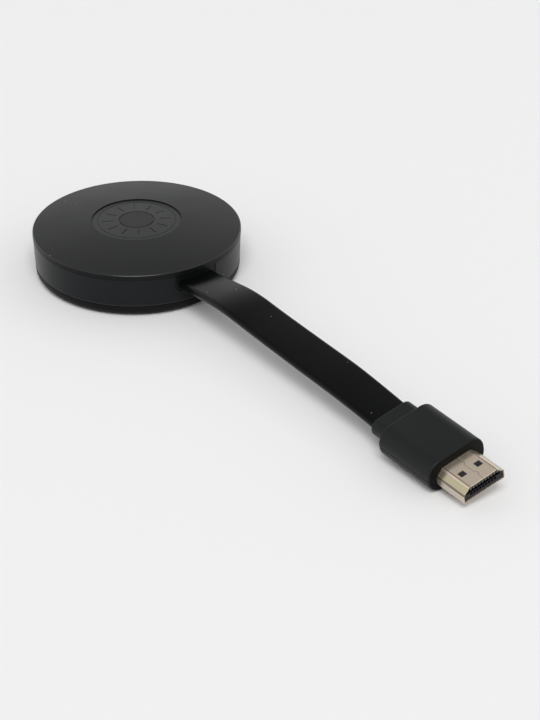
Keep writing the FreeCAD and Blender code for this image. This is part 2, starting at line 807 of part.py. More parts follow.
def make_button():
    cap, solid = turned_piece("mode_button", [
        (cap_root, ZERO),
        (cap_root, dim.button_flange_radius),
        (flange_face, dim.button_flange_radius),
        (flange_face, dim.button_radius),
        (button_face, dim.button_radius),
        (button_face, ZERO),
    ], button_height)

    def rim(edge):
        box = edge.BoundBox
        return abs(box.XMin - button_face.amount) < TOUCH and box.XLength < TOUCH
    dress(cap, "Fillet", "ButtonEdge", solid, rim, "Radius", dim.button_edge_round)

    turned_piece("switch_plunger", [
        (switch_face - dim.plunger_root, ZERO),
        (switch_face - dim.plunger_root, dim.plunger_radius),
        (cap_root, dim.plunger_radius),
        (cap_root, ZERO),
    ], button_height)

    body = new_body("switch_body")
    plan = sketch_on(body, "XY_Plane", "SwitchPlan", board_top)
    rectangle(plan, ZERO, switch_face - dim.switch_depth / 2, dim.switch_length, dim.switch_depth)
    pad(body, plan, dim.switch_height, "SwitchBlock")
    bore_plan = sketch_on(body, "YZ_Plane", "PlungerBorePlan", turn=QUARTER_TURN)
    circle(bore_plan, ZERO, button_height, dim.plunger_radius + dim.plunger_gap)
    bore_plan.setExpression("AttachmentOffset.Base.x", switch_face.formula)
    pocket(body, bore_plan, dim.plunger_root + dim.button_travel + dim.plunger_gap, "PlungerBore")


# Status light: a side-view lamp on the board behind a clear rod in the wall

def make_status_light():
    turn = SIZES["pipe_angle"]
    tip = wall_radius(pipe_height) - dim.pipe_gap
    flange = inner_radius - dim.pipe_flange_thickness - dim.lip_gap
    turned_piece("light_pipe", [
        (flange, ZERO),
        (flange, dim.pipe_flange_radius),
        (flange + dim.pipe_flange_thickness, dim.pipe_flange_radius),
        (flange + dim.pipe_flange_thickness, dim.pipe_radius),
        (tip, dim.pipe_radius),
        (tip, ZERO),
    ], pipe_height, turn)

    body = new_body("status_led")
    plan = sketch_on(body, "XY_Plane", "LedPlan", board_top, turn)
    reach = board_radius - dim.led_depth / 2 - dim.board_gap
    rectangle(plan, reach, ZERO, dim.led_depth, dim.led_length)
    pad(body, plan, dim.pipe_flange_radius * 2, "Led")


# Ribbon's anchor: a moulded block on the board, flat against the wall's inner face. Its nose fills the
# notch in the wall, flush with the wall's outer face and stepped over the lid's lip. The ribbon ends in a
# seat in the nose.

def make_cable_anchor():
    body = new_body("cable_anchor")
    plan = sketch_on(body, "YZ_Plane", "AnchorPlan", anchor_face - dim.anchor_length)
    lip_clearance = dim.lid_joint_height - dim.lid_lip_height - dim.lip_gap
    rectangle(plan, ZERO, (board_top + lip_clearance) / 2, dim.anchor_width, lip_clearance - board_top)
    anchor = pad(body, plan, dim.anchor_length, "Anchor")
    dress(body, "Fillet", "AnchorEdges", anchor, along("X"), "Radius", dim.anchor_round)

    nose_plan = sketch_on(body, "YZ_Plane", "NosePlan", anchor_face - dim.anchor_round)
    notch_outline(nose_plan, dim.lip_gap, dim.lid_joint_height - dim.lip_gap)
    pad(body, nose_plan, dim.body_radius - anchor_face + dim.anchor_round, "Nose")
    face_profile = sketch_on(body, "XZ_Plane", "NoseFaceProfile")
    beyond = dim.body_radius + dim.wall
    outline(face_profile, [
        (base_radius - dim.lip_gap, dim.base_height),
        (beyond, dim.base_height),
        (beyond, dim.lid_joint_height),
        (base_radius + dim.wall_draft - dim.lip_gap, dim.lid_joint_height),
    ])
    revolution(body, face_profile, "NoseFace", kind="Groove")
    lip_plan = sketch_on(body, "XY_Plane", "LipClearancePlan", lip_clearance)
    circle(lip_plan, ZERO, ZERO, inner_radius)
    pocket(body, lip_plan, dim.lid_lip_height + dim.lip_gap, "LipClearance", forwards=True)

    seat_plan = sketch_on(body, "YZ_Plane", "RibbonSeatPlan", dim.body_radius)
    rectangle(seat_plan, ZERO, dim.cable_height, dim.cable_width + dim.cable_seat_gap * 2,
              dim.cable_thickness + dim.cable_seat_gap * 2)
    pocket(body, seat_plan, dim.body_radius - cable_root, "RibbonSeat")


# Leads: the ribbon's cores as flat strips, bent down from the anchor to the board

def make_cable_leads():
    near = anchor_face - dim.anchor_length
    level = dim.cable_height
    leads = []
    for number in range(LEADS):
        shift = dim.lead_pitch * (number - (LEADS - 1) / 2)
        parts = [
            block("LeadReach%d" % (number + 1), near - dim.lead_reach / 2, shift, level,
                  dim.lead_reach, dim.lead_width, dim.lead_thickness),
            block("LeadDrop%d" % (number + 1), near - dim.lead_reach + dim.lead_thickness / 2, shift,
                  board_top, dim.lead_thickness, dim.lead_width, level - board_top),
        ]
        lead = document.addObject("Part::Fuse", "Lead%d" % (number + 1))
        lead.Base, lead.Tool = parts
        leads.append(lead)
    group("cable_leads", leads)


# Plug: its own frame is laid where the plug rests, tilted a little nose down and rolled on its side

plug_rotation = (FreeCAD.Rotation(FreeCAD.Vector(0, 1, 0), SIZES["plug_tilt"])
                 .multiply(FreeCAD.Rotation(FreeCAD.Vector(1, 0, 0), SIZES["plug_roll"])))
plug_place = FreeCAD.Placement(
    FreeCAD.Vector(SIZES["plug_x"], SIZES["plug_y"], SIZES["plug_z"]), plug_rotation)


def plug_body(label):
    body = new_body(label)
    body.Placement = plug_place
    return body


def shell_profile(sketch, inset):
    """The plug's outline, wide side down with its upper corners slanted, drawn in by an even inset."""
    half_width = dim.shell_width / 2
    half_height = dim.shell_height / 2
    run = half_width - dim.shell_top / 2
    rise = dim.shell_height - dim.shell_side
    slant = root(run * run + rise * rise)
    side = -half_height + dim.shell_side - inset * (slant - rise) / run
    flat = dim.shell_top / 2 - inset * (slant - run) / rise
    half = half_width - inset
    top = half_height - inset
    outline(sketch, [(-half, -top), (half, -top), (half, side), (flat, top), (-flat, top), (-half, side)])


# Grip and neck: one soft moulding round the shell's rear half and the end of the ribbon

def make_plug_housing():
    body = plug_body("plug_housing")
    rear = -dim.grip_setback - dim.grip_length
    grip_plan = sketch_on(body, "YZ_Plane", "GripPlan", rear)
    rounded_rectangle(grip_plan, ZERO, ZERO, dim.grip_width, dim.grip_thickness, dim.grip_corner)
    grip = pad(body, grip_plan, dim.grip_length, "Grip")

    def grip_end(edge):
        box = edge.BoundBox
        return box.XLength < TOUCH
    dress(body, "Fillet", "GripEnds", grip, grip_end, "Radius", dim.grip_end_round)

    neck_plan = sketch_on(body, "YZ_Plane", "NeckPlan", rear - dim.neck_length)
    rounded_rectangle(neck_plan, ZERO, ZERO, dim.neck_width, dim.neck_thickness, dim.neck_corner)
    neck = pad(body, neck_plan, dim.neck_length + dim.grip_end_round, "Neck")

    def neck_end(edge):
        box = edge.BoundBox
        return box.XLength < TOUCH and abs(box.XMin - (rear - dim.neck_length).amount) < TOUCH
    dress(body, "Fillet", "NeckEnd", neck, neck_end, "Radius", dim.neck_end_round)

    seam_plan = sketch_on(body, "YZ_Plane", "SeamPlan", rear)
    for side in (-1, 1):
        rectangle(seam_plan, dim.grip_width / 2 * side, ZERO, dim.seam_depth * 2, dim.seam_width)
    pocket(body, seam_plan, dim.grip_length, "MouldSeam", forwards=True)

    bore_plan = sketch_on(body, "YZ_Plane", "ShellBorePlan", -dim.grip_setback)
    shell_profile(bore_plan, -dim.insulator_gap)
    pocket(body, bore_plan, dim.shell_length - dim.grip_setback, "ShellBore")


# Shell: one folded sheet, open at both ends, with two latch windows in its narrow side

def make_plug_shell():
    body = plug_body("plug_shell")
    outer = sketch_on(body, "YZ_Plane", "ShellOuter", -dim.shell_length)
    shell_profile(outer, ZERO)
    sleeve = pad(body, outer, dim.shell_length, "Sleeve")
    folds = dress(body, "Fillet", "Folds", sleeve, along("X"), "Radius", dim.shell_bend)

    def mouth_edge(edge):
        box = edge.BoundBox
        return box.XLength < TOUCH and abs(box.XMax) < TOUCH
    dress(body, "Chamfer", "MouthLip", folds, mouth_edge, "Size", dim.shell_lip)
    inner = sketch_on(body, "YZ_Plane", "ShellInner", -dim.shell_length)
    shell_profile(inner, dim.shell_sheet)
    pocket(body, inner, dim.shell_length, "ShellBore", forwards=True)
    windows = sketch_on(body, "XY_Plane", "WindowPlan", dim.shell_height / 2)
    for side in (-1, 1):
        rectangle(windows, -dim.window_setback - dim.window_side / 2, dim.window_spread / 2 * side,
                  dim.window_side, dim.window_side)
    pocket(body, windows, dim.shell_sheet * 2, "Windows")


# Insulator: the moulding in the mouth, with the cavity, the comb above it and the row of holes below

contact_rows = (
    ("plug_contacts_upper", UPPER_CONTACTS, 1),
    ("plug_contacts_lower", LOWER_CONTACTS, -1),
)
cavity_top = dim.cavity_rise + dim.cavity_height / 2
cavity_foot = dim.cavity_rise - dim.cavity_height / 2


def contact_level(side):
    """Middle height of a row's slots: above the cavity, or below it behind a thin web."""
    if side > 0:
        return cavity_top + dim.contact_slot / 2
    return cavity_foot - dim.contact_slot


def make_plug_insulator():
    body = plug_body("plug_insulator")
    plan = sketch_on(body, "YZ_Plane", "InsulatorPlan", -dim.insulator_setback - dim.insulator_length)
    shell_profile(plan, dim.shell_sheet + dim.insulator_gap)
    pad(body, plan, dim.insulator_length, "InsulatorBlock")
    cavity_plan = sketch_on(body, "YZ_Plane", "CavityPlan", -dim.insulator_setback)
    rectangle(cavity_plan, ZERO, dim.cavity_rise, dim.cavity_width, dim.cavity_height)
    pocket(body, cavity_plan, dim.cavity_depth, "Cavity")
    for label, count, side in contact_rows:
        slots = sketch_on(body, "YZ_Plane", label + "_slots", -dim.insulator_setback)
        for number in range(count):
            shift = dim.contact_pitch * (number - (count - 1) / 2)
            rectangle(slots, shift, contact_level(side), dim.contact_slot, dim.contact_slot)
        pocket(body, slots, dim.insulator_length, label + "_cut")


# Contacts: flat strips that lie in the slots, with solder tails behind the insulator

def make_plug_contacts():
    front = -dim.insulator_setback - dim.contact_setback
    rear = -dim.insulator_setback - dim.insulator_length - dim.contact_tail
    for label, count, side in contact_rows:
        strips = []
        for number in range(count):
            shift = dim.contact_pitch * (number - (count - 1) / 2)
            foot = contact_level(side) + dim.contact_slot / 2 * side
            if side > 0:
                foot = foot - dim.contact_thickness
            strips.append(block("%s_%d" % (label, number + 1), (front + rear) / 2, shift, foot,
                                front - rear, dim.contact_width, dim.contact_thickness))
        row = group(label, strips)
        row.Placement = plug_place


# Ribbon: straight runs joined by tangent arcs, with the flat section turning to the plug's roll on the way

def run_and_arc_path(points):
    """Wire through the points: each corner is an arc as large as its two runs allow."""
    points = [FreeCAD.Vector(*point) for point in points]
    edges = []
    length = 0.0
    here = points[0]
    for before, corner, after in zip(points, points[1:], points[2:]):
        back = (before - corner).normalize()
        ahead = (after - corner).normalize()
        turn = math.pi - back.getAngle(ahead)
        setback = 0.45 * min((before - corner).Length, (after - corner).Length)
        radius = setback / math.tan(turn / 2)
        print("ribbon: turn %.1f degrees, radius %.0f mm" % (math.degrees(turn), radius))
        entry = corner + back * setback
        leave = corner + ahead * setback
        inward = (back + ahead).normalize()
        middle = corner + inward * (radius / math.cos(turn / 2) - radius)
        edges.append(Part.LineSegment(here, entry).toShape())
        edges.append(Part.Arc(entry, middle, leave).toShape())
        length += (entry - here).Length + radius * turn
        here = leave
    edges.append(Part.LineSegment(here, points[-1]).toShape())
    length += (points[-1] - here).Length
    return Part.Wire(edges), length


def ribbon_section(centre, direction, roll):
    """The ribbon's bevelled section at a point, square to its direction and rolled about it."""
    half = SIZES["cable_width"] / 2
    thick = SIZES["cable_thickness"] / 2
    bevel = SIZES["cable_bevel"]
    across = FreeCAD.Vector(0, 0, 1).cross(direction).normalize()
    over = direction.cross(across)
    turn = FreeCAD.Rotation(direction, roll)
    across, over = turn.multVec(across), turn.multVec(over)
    corners = []
    for side_y, side_z in ((1, 1), (-1, 1), (-1, -1), (1, -1)):
        pair = [(half * side_y, (thick - bevel) * side_z), ((half - bevel) * side_y, thick * side_z)]
        corners += pair if side_y * side_z > 0 else reversed(pair)
    spots = [centre + across * y + over * z for y, z in corners]
    return Part.makePolygon(spots + spots[:1])


def make_ribbon_cable():
    start = FreeCAD.Vector(cable_root.amount, 0, SIZES["cable_height"])
    neck_end = -(SIZES["grip_setback"] + SIZES["grip_length"] + SIZES["neck_length"])
    finish = plug_place.multVec(FreeCAD.Vector(neck_end, 0, 0))
    route = [FreeCAD.Vector(*point) for point in ROUTE]
    points = [start] + route + [finish]
    path, length = run_and_arc_path(points)
    stations = [(start, route[0] - start, 0.0)]
    for index, roll in RUN_ROLLS.items():
        here, there = route[index], route[index + 1]
        stations.append(((here + there) / 2, there - here, roll))
    stations.append((finish, finish - route[-1], SIZES["cable_end_roll"]))
    shell = Part.BRepOffsetAPI.MakePipeShell(path)
    shell.setFrenetMode(False)
    for centre, way, roll in stations:
        section = ribbon_section(centre, way.normalize(), roll)
        shell.add(section, WithContact=False, WithCorrection=False)
    shell.build()
    shell.makeSolid()
    solid = shell.shape()
    area = Part.Face(section).Area
    print("ribbon: length %.1f mm, volume %.1f against %.1f mm3" % (length, solid.Volume, area * length))
    item = document.addObject("Part::Feature", "ribbon_cable")
    item.Shape = solid
    single("ribbon_cable", item)


def check_document():
    document.recompute()
    for item in document.Objects:
        broken = {"Invalid", "Error"} & set(item.State)
        if broken:
            raise RuntimeError("%s: %s" % (item.Label, ", ".join(sorted(broken))))
    for piece in pieces:
        if piece.Shape.isNull() or not piece.Shape.isValid() or not piece.Shape.Solids:
            raise RuntimeError("%s has no sound solid" % piece.Label)


def write_pieces():
    os.makedirs("parts", exist_ok=True)
    for piece in pieces:
        piece.Shape.exportStep("parts/%s.step" % piece.Label)
        print("%-22s %d solids, %.1f mm3" % (piece.Label, len(piece.Shape.Solids), piece.Shape.Volume))


make_top_cover()
make_middle_shell()
make_base_cover()
make_base_screws()
make_main_board()
make_board_parts()
make_heat_sink()
make_power_socket()
make_button()
make_status_light()
make_cable_anchor()
make_cable_leads()
make_plug_housing()
make_plug_shell()
make_plug_insulator()
make_plug_contacts()
make_ribbon_cable()
check_document()
write_pieces()
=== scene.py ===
import math
import bmesh
import bpy
from mathutils import Matrix, Vector


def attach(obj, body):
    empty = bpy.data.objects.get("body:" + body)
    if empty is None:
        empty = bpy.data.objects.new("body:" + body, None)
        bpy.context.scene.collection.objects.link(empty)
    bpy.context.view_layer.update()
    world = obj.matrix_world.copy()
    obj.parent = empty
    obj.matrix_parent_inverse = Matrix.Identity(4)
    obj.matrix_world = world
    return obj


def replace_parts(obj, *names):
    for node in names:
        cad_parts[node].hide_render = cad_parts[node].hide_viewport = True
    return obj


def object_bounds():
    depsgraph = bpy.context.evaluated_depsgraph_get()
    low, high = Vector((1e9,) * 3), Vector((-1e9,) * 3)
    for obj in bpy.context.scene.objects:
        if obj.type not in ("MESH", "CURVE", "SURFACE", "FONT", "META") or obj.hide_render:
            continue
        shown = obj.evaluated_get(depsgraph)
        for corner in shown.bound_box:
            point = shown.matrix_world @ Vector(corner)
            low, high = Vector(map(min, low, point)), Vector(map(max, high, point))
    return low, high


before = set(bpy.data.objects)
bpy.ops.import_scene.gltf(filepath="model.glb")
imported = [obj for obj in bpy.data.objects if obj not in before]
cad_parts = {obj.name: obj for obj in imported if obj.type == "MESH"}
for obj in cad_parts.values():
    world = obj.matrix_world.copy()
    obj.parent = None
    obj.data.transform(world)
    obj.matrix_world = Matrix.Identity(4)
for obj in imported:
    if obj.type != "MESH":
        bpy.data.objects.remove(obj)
cad_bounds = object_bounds()
MM = 0.001


# Studio: a long lens looks down on the dongle from the plug's side. The floor and the room are one pale
# tone, lit from all round and by one wide softbox overhead, so the shadows stay soft and close.

camera_place = Vector((534.74, -353.17, 343.52)) * MM
camera_heading = math.radians(143.0)
camera_pitch = math.radians(30.46)
camera_roll = math.radians(-0.15)
forward = Vector((
    math.cos(camera_heading) * math.cos(camera_pitch),
    math.sin(camera_heading) * math.cos(camera_pitch),
    -math.sin(camera_pitch),
))
level_right = Vector((math.sin(camera_heading), -math.cos(camera_heading), 0))
camera_right = Matrix.Rotation(-camera_roll, 3, forward) @ level_right
camera_up = camera_right.cross(forward)
camera_data = bpy.data.cameras.new("camera")
camera_data.lens = 120
camera_data.sensor_width = 36
camera_data.clip_start = 0.01
camera_data.clip_end = 50
camera = bpy.data.objects.new("camera", camera_data)
bpy.context.scene.collection.objects.link(camera)
turned = Matrix((camera_right, camera_up, -forward)).transposed().to_4x4()
camera.matrix_world = Matrix.Translation(camera_place) @ turned
bpy.context.scene.camera = camera
bpy.context.scene.view_settings.view_transform = "Standard"


class Field:
    """A value that changes over a surface. Its operators add Math nodes."""

    def __init__(self, finish, socket):
        self.finish = finish
        self.socket = socket

    def joined(self, operation, first, second):
        return self.finish.node("ShaderNodeMath", {"operation": operation}, {0: first, 1: second})

    def __add__(self, other):
        return self.joined("ADD", self, other)

    def __radd__(self, other):
        return self.joined("ADD", other, self)

    def __sub__(self, other):
        return self.joined("SUBTRACT", self, other)

    def __rsub__(self, other):
        return self.joined("SUBTRACT", other, self)

    def __mul__(self, other):
        return self.joined("MULTIPLY", self, other)

    def __rmul__(self, other):
        return self.joined("MULTIPLY", other, self)

    def __lt__(self, other):
        return self.joined("LESS_THAN", self, other)

    def __gt__(self, other):
        return self.joined("GREATER_THAN", self, other)

    def __abs__(self):
        return self.joined("ABSOLUTE", self, 0.0)


class Wiring:
    """A node tree, to which each call adds one node and gives its output as a Field."""

    def __init__(self, tree):
        self.tree = tree

    def feed(self, node, inputs):
        for key, amount in inputs.items():
            if isinstance(amount, Field):
                self.tree.links.new(amount.socket, node.inputs[key])
            else:
                node.inputs[key].default_value = amount

    def node(self, kind, settings=None, inputs=None, output=0):
        made = self.tree.nodes.new(kind)
        for setting, choice in (settings or {}).items():
            setattr(made, setting, choice)
        self.feed(made, inputs or {})
        return Field(self, made.outputs[output])

    def part(self, vector, axis):
        return self.node("ShaderNodeSeparateXYZ", {}, {"Vector": vector}, axis)

    def ramp(self, field, low, high, from_low, from_high):
        """From low to high while the field runs between two values, and level beyond them."""
        return self.node("ShaderNodeMapRange", {}, {
            "Value": field, "From Min": from_low, "From Max": from_high, "To Min": low, "To Max": high})


class Finish(Wiring):
    """One surface finish: a node material whose fields are read in the dongle's own frame."""

    usual_low = 0.3
    usual_high = 0.7

    def __init__(self, name, colour=(0.8, 0.8, 0.8), **constants):
        self.material = bpy.data.materials.new(name)
        self.material.use_nodes = True
        super().__init__(self.material.node_tree)
        self.shader = next(node for node in self.tree.nodes if node.type == "BSDF_PRINCIPLED")
        self.feed(self.shader, {"Base Color": (*colour, 1.0)})
        for socket, amount in constants.items():
            self.feed(self.shader, {socket.replace("_", " "): amount})
        self.surface = self.shader.outputs[0]

    def place(self, centre=(0, 0, 0), turn=(0, 0, 0), scale=(1, 1, 1)):
        """Where a point of the surface is, seen from a centre and a turn of its own."""
        spot = self.node("ShaderNodeTexCoord", output="Object")
        if centre == (0, 0, 0) and turn == (0, 0, 0) and scale == (1, 1, 1):
            return spot
        return self.node("ShaderNodeMapping", {"vector_type": "TEXTURE"}, {
            "Vector": spot, "Location": centre, "Rotation": turn, "Scale": scale})

    def noise(self, scale, detail=2.0, place=None):
        return self.node("ShaderNodeTexNoise", {}, {
            "Vector": place or self.place(), "Scale": scale, "Detail": detail})

    def wander(self, noise, low, high):
        """From low to high as a noise wanders over the values that it usually has."""
        return self.ramp(noise, low, high, self.usual_low, self.usual_high)

    def mix(self, share, first, second):
        """A colour between two, by a field from 0 to 1. Either may be a Field."""
        made = self.tree.nodes.new("ShaderNodeMix")
        made.data_type = "RGBA"
        colours = [socket for socket in made.inputs if socket.type == "RGBA"]
        self.tree.links.new(share.socket, made.inputs[0])
        for socket, colour in zip(colours, (first, second)):
            if isinstance(colour, Field):
                self.tree.links.new(colour.socket, socket)
            else:
                socket.default_value = (*colour, 1.0)
        return Field(self, next(socket for socket in made.outputs if socket.type == "RGBA"))

    def relief(self, height, depth):
        """Bump of a height field, whose depth is in metres."""
        bump = self.node("ShaderNodeBump", {}, {"Height": height, "Distance": depth})
        self.feed(self.shader, {"Normal": bump})

    def zone(self, share, colour, **constants):
        """A second surface where the share is 1, with a colour and constants of its own."""
        second = self.tree.nodes.new("ShaderNodeBsdfPrincipled")
        self.feed(second, {"Base Color": (*colour, 1.0)})
        for socket, amount in constants.items():
            self.feed(second, {socket.replace("_", " "): amount})
        joined = self.tree.nodes.new("ShaderNodeMixShader")
        self.feed(joined, {0: share})
        end = next(node for node in self.tree.nodes if node.type == "OUTPUT_MATERIAL")
        self.tree.links.new(self.surface, joined.inputs[1])
        self.tree.links.new(second.outputs[0], joined.inputs[2])
        self.tree.links.new(joined.outputs[0], end.inputs["Surface"])
        self.surface = joined.outputs[0]


room_tone = (0.863, 0.863, 0.866)
backdrop_top = math.radians(24)
ceiling_start = math.radians(52)
ceiling_share = 0.48
world = bpy.data.worlds.new("room")
world.use_nodes = True
bpy.context.scene.world = world
room = Wiring(world.node_tree)
looking = room.node("ShaderNodeTexCoord", output="Generated")
backdrop = world.node_tree.nodes["Background"]
room.feed(backdrop, {
    "Color": (*room_tone, 1.0),
    "Strength": room.ramp(room.part(looking, "Z"), 1.0, ceiling_share, math.sin(backdrop_top),
                          math.sin(ceiling_start)),
})

softbox_width = 6.6
softbox_power = 800.0
softbox_reach = 12.0
softbox_rise = math.radians(58)
softbox_data = bpy.data.lights.new("softbox", "AREA")
softbox_data.shape = "SQUARE"
softbox_data.size = softbox_width
softbox_data.energy = softbox_power
softbox = bpy.data.objects.new("softbox", softbox_data)
bpy.context.scene.collection.objects.link(softbox)
towards_camera = Vector((-math.cos(camera_heading), -math.sin(camera_heading), 0))
lamp_way = towards_camera * math.cos(softbox_rise) + Vector((0, 0, math.sin(softbox_rise)))
middle = (cad_bounds[0] + cad_bounds[1]) / 2
softbox_turn = lamp_way.to_track_quat("Z", "Y").to_matrix().to_4x4()
softbox.matrix_world = Matrix.Translation(middle + lamp_way * softbox_reach) @ softbox_turn

floor_finish = Finish("floor_paper", room_tone, Roughness=0.9, Specular_IOR_Level=0.1)
floor_gap = 0.02 * MM
floor_half = 6.0
floor_mesh = bmesh.new()
bmesh.ops.create_grid(floor_mesh, x_segments=1, y_segments=1, size=floor_half)
bmesh.ops.translate(floor_mesh, vec=(0, 0, -floor_gap), verts=floor_mesh.verts)
floor_data = bpy.data.meshes.new("floor")
floor_mesh.to_mesh(floor_data)
floor_mesh.free()
floor_data.materials.append(floor_finish.material)
floor = bpy.data.objects.new("floor", floor_data)
bpy.context.scene.collection.objects.link(floor)


# Ribbon cable: a flat black cable in a soft smooth jacket, clamped in the wall's anchor and moulded into
# the plug's neck. It lies free between them and turns over a little on the way. Beyond its rise the jacket
# is duller.

cable_width = 12.3 * MM
cable_thickness = 2.5 * MM
cable_edge = 1.1 * MM
plug_place = Vector((158.9, -1.7, 5.6)) * MM
plug_tilt = math.radians(2.56)
plug_roll = math.radians(12.0)
plug_frame = (Matrix.Translation(plug_place) @ Matrix.Rotation(plug_tilt, 4, "Y")
              @ Matrix.Rotation(plug_roll, 4, "X"))
neck_setback = 37.3 * MM
neck_end = plug_frame @ Vector((-neck_setback, 0, 0))
cable_exit = Vector((30.255, 0, 9.1)) * MM
cable_route = [
    cable_exit,
    Vector((40.0, -0.2, 10.0)) * MM,
    Vector((52.0, -0.4, 11.25)) * MM,
    Vector((66.0, -0.7, 10.4)) * MM,
    Vector((86.0, -1.05, 9.6)) * MM,
    Vector((106.0, -1.4, 8.9)) * MM,
    neck_end,
]
cable_rolls = [(cable_exit.x, 0.0), (59.0 * MM, 9.0), (96.0 * MM, 11.0), (neck_end.x, 6.0)]
route_steps = 20


def read_spline(points, steps):
    """Points along one smooth spline through a route."""
    curve = bpy.data.curves.new("route", "CURVE")
    curve.dimensions = "3D"
    spline = curve.splines.new("NURBS")
    spline.points.add(len(points) - 1)
    for held, point in zip(spline.points, points):
        held.co = (*point, 1.0)
    spline.order_u = 3
    spline.use_endpoint_u = True
    spline.resolution_u = steps
    route = bpy.data.objects.new("route", curve)
    line = bpy.data.meshes.new_from_object(route)
    read = [vertex.co.copy() for vertex in line.vertices]
    bpy.data.objects.remove(route)
    bpy.data.curves.remove(curve)
    bpy.data.meshes.remove(line)
    return read


def new_piece(name, mesh, finish, body="housing", smooth=40):
    """Turn a bmesh into a piece of the dongle that rides on a body."""
    bmesh.ops.recalc_face_normals(mesh, faces=mesh.faces)
    for face in mesh.faces:
        face.smooth = True
    for edge in mesh.edges:
        if len(edge.link_faces) == 2 and edge.calc_face_angle() > math.radians(smooth):
            edge.smooth = False
    data = bpy.data.meshes.new(name)
    mesh.to_mesh(data)
    mesh.free()
    data.materials.append(finish.material)
    piece = bpy.data.objects.new(name, data)
    bpy.context.scene.collection.objects.link(piece)
    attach(piece, body)
    return piece


dust_scale = 380.0
dust_size = 0.05
dust_tone = (0.34, 0.34, 0.33)
patch_scale = 45.0
patch_tone = 1.25


def moulded(name, colour, roughness, grain=3500.0, grain_depth=0.012, specular=0.5, drift=0.04, dust=0.0):
    """Moulded plastic: a fine etched grain, a slow drift of gloss, and sparse dust."""
    finish = Finish(name, colour, Roughness=roughness, Specular_IOR_Level=specular)
    patches = finish.noise(patch_scale, detail=3.0)
    finish.feed(finish.shader, {"Roughness": finish.wander(patches, roughness - drift, roughness + drift)})
    pale = tuple(channel * patch_tone for channel in colour)
    tone = finish.mix(finish.wander(patches, 0.0, 1.0), colour, pale)
    if dust:
        scatter = {"Vector": finish.place(), "Scale": dust_scale}
        cells = finish.node("ShaderNodeTexVoronoi", {}, scatter, "Distance")
        chosen = finish.node("ShaderNodeTexVoronoi", {}, scatter, "Color")
        lot = finish.node("ShaderNodeSeparateColor", {}, {"Color": chosen}, "Red")
        speck = (cells < dust_size) * (lot > 1.0 - dust)
        tone = finish.mix(speck, tone, dust_tone)
    finish.feed(finish.shader, {"Base Color": tone})
    finish.relief(finish.noise(grain, detail=1.0), grain_depth * MM)
    return finish


jacket = moulded("soft_jacket", (0.0016, 0.0018, 0.0018), 0.22, grain=900.0, grain_depth=0.001, specular=0.1,
                 drift=0.02, dust=0.16)
polish_weight = 0.28
polish_full = 44 * MM
polish_none = 56 * MM
polish = jacket.ramp(jacket.part(jacket.place(), "X"), polish_weight, 0.0, polish_full, polish_none)
jacket.feed(jacket.shader, {"Coat Weight": polish, "Coat Roughness": 0.25})
path = read_spline(cable_route, route_steps)


def roll_at(distance):
    """How far the cable has turned over at a distance along X, eased between its measured places."""
    for (near, first), (far, second) in zip(cable_rolls, cable_rolls[1:]):
        if distance <= far:
            share = max(0.0, distance - near) / (far - near)
            return math.radians(first + (second - first) * share * share * (3 - 2 * share))
    return math.radians(cable_rolls[-1][1])


def cable_frame(index):
    """Frame at a point of the cable: X along it and Y across its width, with its roll."""
    ahead = (path[min(index + 1, len(path) - 1)] - path[max(index - 1, 0)]).normalized()
    across = Vector((0, 0, 1)).cross(ahead).normalized()
    over = ahead.cross(across)
    turn = Matrix.Rotation(roll_at(path[index].x), 3, ahead)
    across, over = turn @ across, turn @ over
    axes = Matrix((ahead, across, over)).transposed().to_4x4()
    return Matrix.Translation(path[index]) @ axes


section_turn = Matrix(((0, 0, 1), (1, 0, 0), (0, 1, 0)))
cable = bmesh.new()
bmesh.ops.create_grid(cable, x_segments=1, y_segments=1, size=0.5)
bmesh.ops.scale(cable, vec=(cable_width, cable_thickness, 1), verts=cable.verts)
bmesh.ops.rotate(cable, matrix=section_turn, verts=cable.verts)
bmesh.ops.bevel(cable, geom=cable.verts, offset=cable_edge, offset_type="OFFSET", segments=6, profile=0.5,
                affect="VERTICES", material=-1)
bmesh.ops.transform(cable, matrix=cable_frame(0), verts=cable.verts)
rim = list(cable.edges)
for index in range(1, len(path)):
    made = bmesh.ops.extrude_edge_only(cable, edges=rim)["geom"]
    rim = [item for item in made if isinstance(item, bmesh.types.BMEdge)]
    corners = [item for item in made if isinstance(item, bmesh.types.BMVert)]
    step = cable_frame(index) @ cable_frame(index - 1).inverted()
    bmesh.ops.transform(cable, matrix=step, verts=corners)
bmesh.ops.contextual_create(cable, geom=rim)
ribbon = new_piece("ribbon", cable, jacket)
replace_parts(ribbon, "ribbon_cable")


# Lid: a domed moulding in fine matte black, with a rounded and glossier rim. The flat recess in its crown
# holds a round satin inlay that is snapped in. It has two plain turned rings and a ring of short rays.

def dress(finish, *nodes):
    """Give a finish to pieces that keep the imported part's own mesh."""
    for node in nodes:
        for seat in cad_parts[node].material_slots:
            seat.material = finish.material


lid_black = moulded("lid_matte", (0.007, 0.0075, 0.0075), 0.43, specular=0.275, dust=0.16)
lid_height = lid_black.part(lid_black.place(), "Z")
rim_low = 13.62 * MM
rim_high = 13.86 * MM
lid_black.zone(lid_height < rim_high, (0.006, 0.0065, 0.0066), Roughness=0.22, Specular_IOR_Level=0.6)
lid_black.zone(lid_height < rim_low, (0.004, 0.0046, 0.0048), Roughness=0.4, Specular_IOR_Level=0.15)
dress(lid_black, "top_cover")

